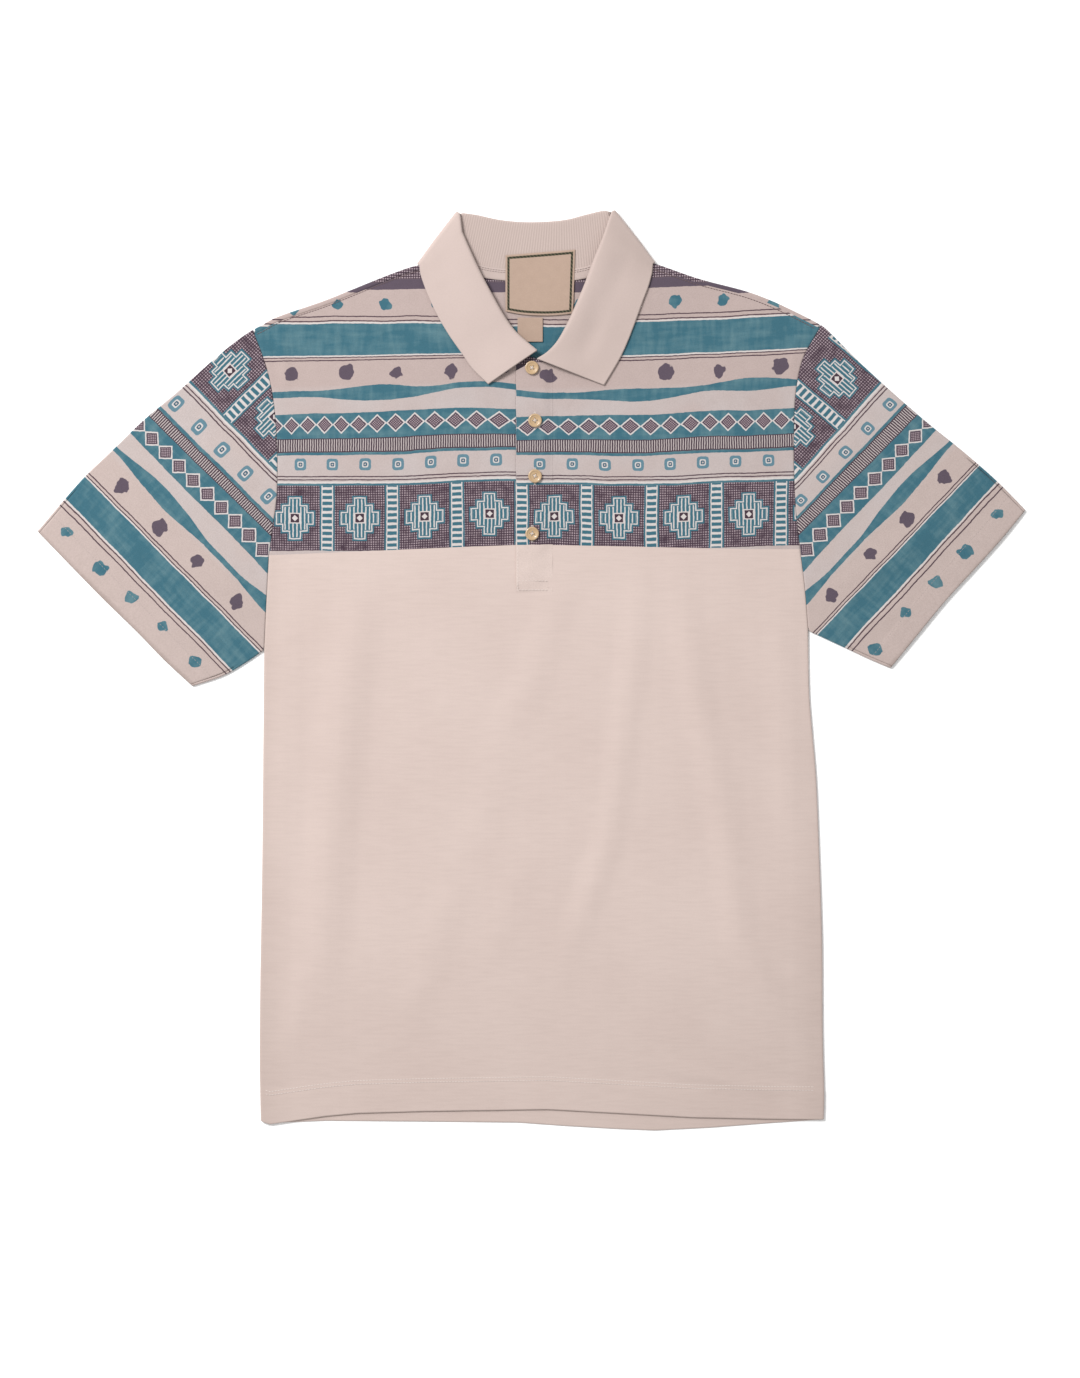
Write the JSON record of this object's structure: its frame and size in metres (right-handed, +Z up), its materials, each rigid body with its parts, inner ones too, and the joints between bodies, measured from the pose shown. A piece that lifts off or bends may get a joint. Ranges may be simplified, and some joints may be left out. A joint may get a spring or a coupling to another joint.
{
  "type": "polo shirt",
  "caption": "Short-sleeved polo shirt laid flat on its back, with a folded rib collar, a buttoned front placket, a printed yoke and sleeves, and a plain body.",
  "frame": {"origin": "centre of the spread-out shirt on the surface it lies on, below the middle of its bounding box", "axes": "+X across the shirt to the viewer's right, sleeve to sleeve; +Y from hem to collar; +Z up, away from the surface"},
  "size_m": [0.8686, 0.8086, 0.011],
  "materials": {
    "printed_jersey": "matte cotton jersey printed with purple, teal and cream bands",
    "plain_jersey": "matte plain cotton jersey, pale pinkish cream",
    "rib_knit": "matte fine rib knit, pale pinkish cream",
    "horn_button": "satin, tan horn look",
    "woven_label": "matte woven tape, tan"
  },
  "bodies": {
    "root": {"back_lower": "plain_jersey", "back_upper": "printed_jersey", "button_1": "horn_button", "button_2": "horn_button", "button_3": "horn_button", "button_4": "horn_button", "collar": "rib_knit", "front_lower": "plain_jersey", "front_upper_left": "printed_jersey", "front_upper_right": "printed_jersey", "neck_label": "woven_label", "placket_over": "printed_jersey", "placket_under": "printed_jersey", "size_label": "woven_label", "sleeve_left": "printed_jersey", "sleeve_right": "printed_jersey"}
  },
  "joints": []
}
